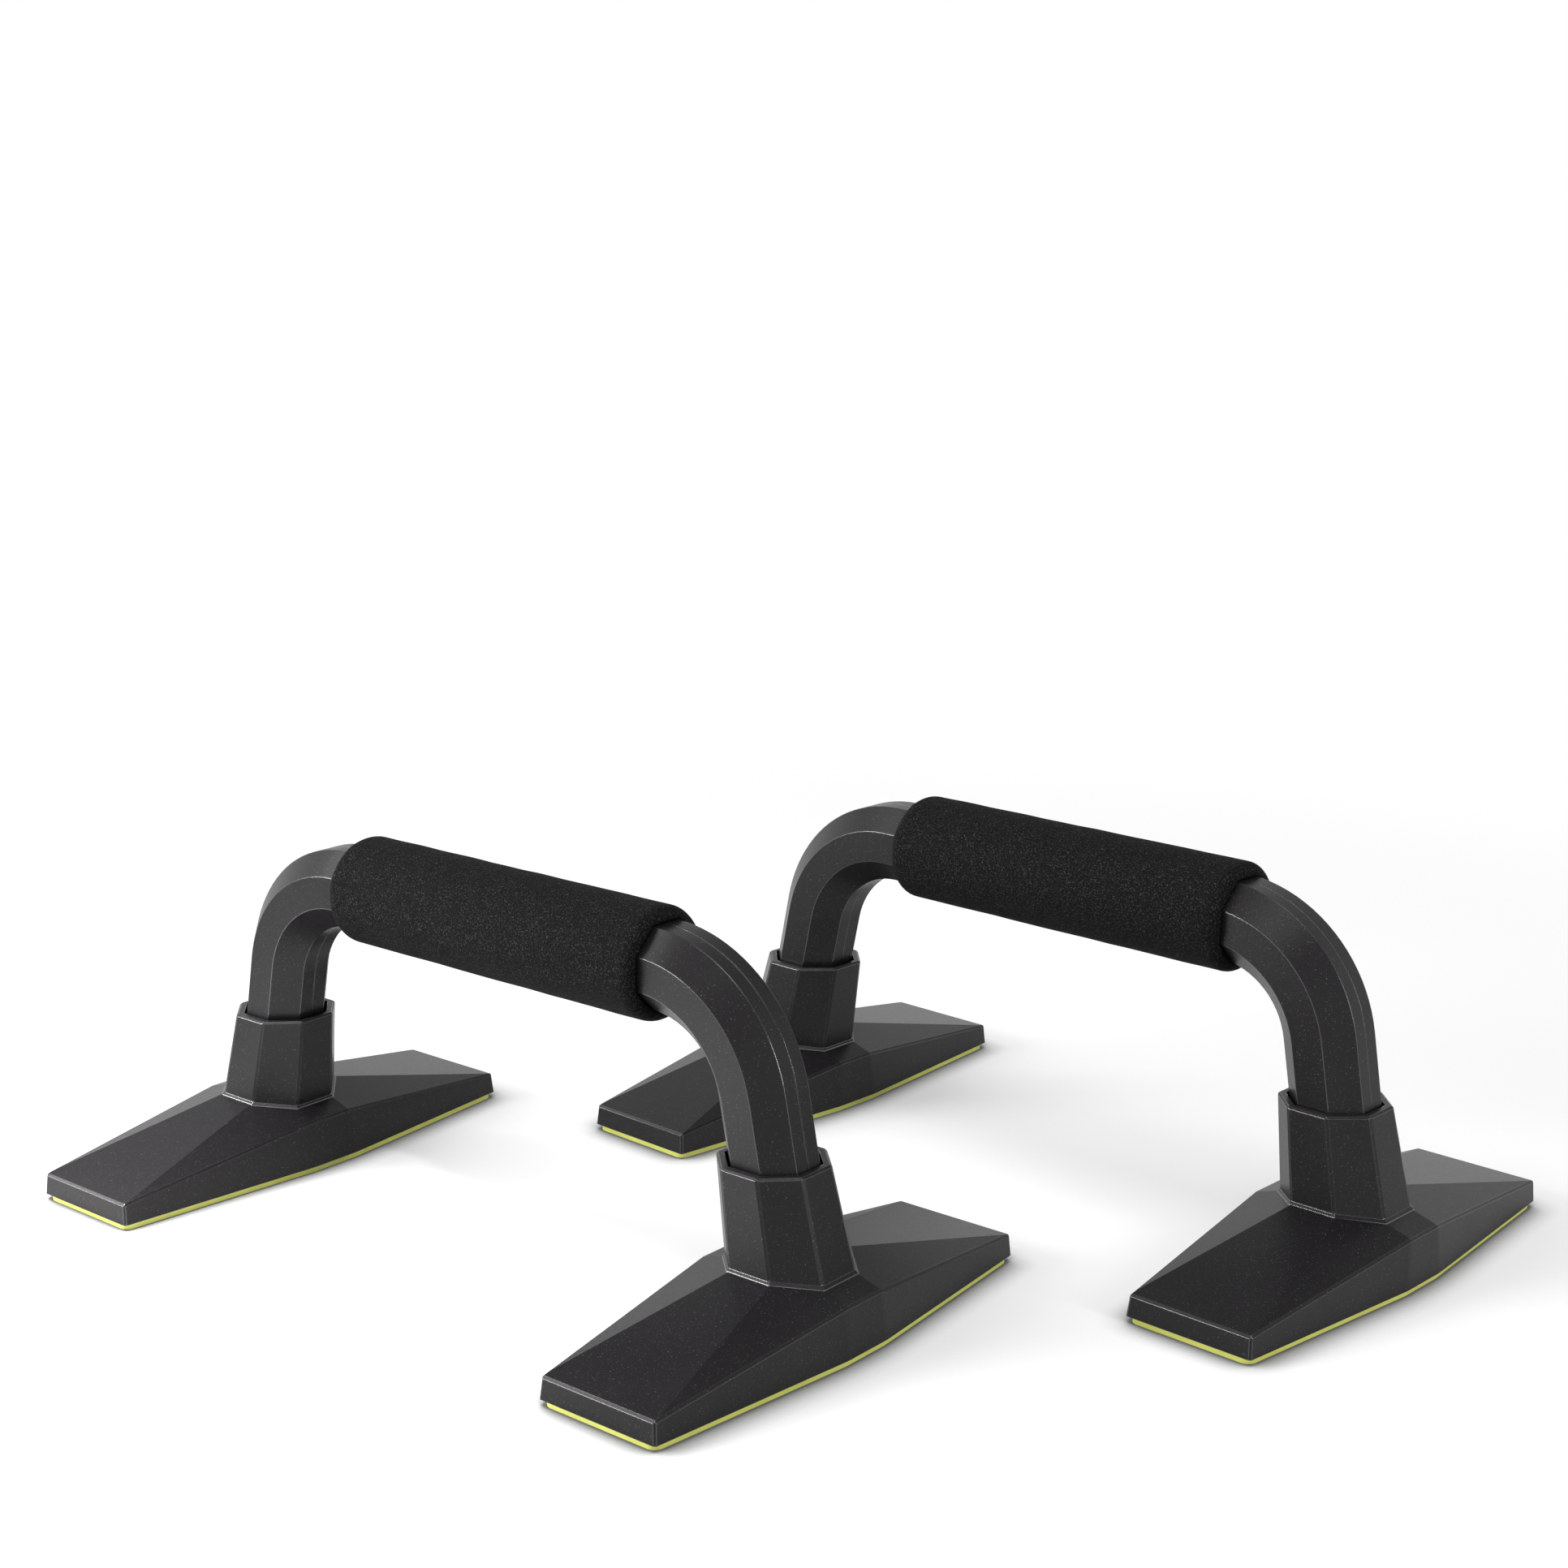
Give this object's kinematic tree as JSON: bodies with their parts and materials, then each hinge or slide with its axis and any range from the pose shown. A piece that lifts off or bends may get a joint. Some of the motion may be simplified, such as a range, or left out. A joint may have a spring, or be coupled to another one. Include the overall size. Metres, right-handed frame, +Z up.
{
  "type": "parallette bar pair",
  "caption": "Low push-up and handstand bars: foam grip on an octagonal U-shaped handle whose legs plug into faceted cross feet with non-slip soles",
  "frame": {"origin": "on the floor under the middle of the pair's bounding box", "axes": "+X along the front bar's handle towards its near foot, +Y along the front bar's feet towards the rear bar, +Z up"},
  "size_m": [0.4176, 0.362, 0.1296],
  "materials": {
    "handle_plastic": "fine-textured matte",
    "foot_plastic": "fine-textured matte",
    "screw_steel": "zinc plated",
    "foam": "closed-cell foam",
    "sole_rubber": "matte"
  },
  "bodies": {
    "far_feet": {"front_foot_far": "foot_plastic", "front_sole_far": "sole_rubber", "rear_foot_far": "foot_plastic", "rear_sole_far": "sole_rubber"},
    "front_handle": {"front_handle_left": "handle_plastic", "front_handle_right": "handle_plastic", "front_handle_screws": "screw_steel", "front_grip": "foam"},
    "front_near_foot": {"front_foot_near": "foot_plastic", "front_sole_near": "sole_rubber"},
    "rear_handle": {"rear_handle_left": "handle_plastic", "rear_handle_right": "handle_plastic", "rear_handle_screws": "screw_steel", "rear_grip": "foam"},
    "rear_near_foot": {"rear_foot_near": "foot_plastic", "rear_sole_near": "sole_rubber"}
  },
  "joints": [
    {"name": "front_handle_lift", "type": "slide", "parent": "far_feet", "child": "front_handle", "axis": [0.2011, 0, 0.9796], "range_m": [0, 0.05]},
    {"name": "front_near_foot_draw", "type": "slide", "parent": "front_handle", "child": "front_near_foot", "axis": [0.2011, 0, -0.9796], "range_m": [0, 0.05]},
    {"name": "rear_handle_lift", "type": "slide", "parent": "far_feet", "child": "rear_handle", "axis": [0.2006, -0.0134, 0.9796], "range_m": [0, 0.05]},
    {"name": "rear_near_foot_draw", "type": "slide", "parent": "rear_handle", "child": "rear_near_foot", "axis": [0.2006, -0.0134, -0.9796], "range_m": [0, 0.05]}
  ],
  "couplings": [
    {"joint": "front_near_foot_draw", "follows": "front_handle_lift", "ratio": 1},
    {"joint": "rear_near_foot_draw", "follows": "rear_handle_lift", "ratio": 1}
  ]
}
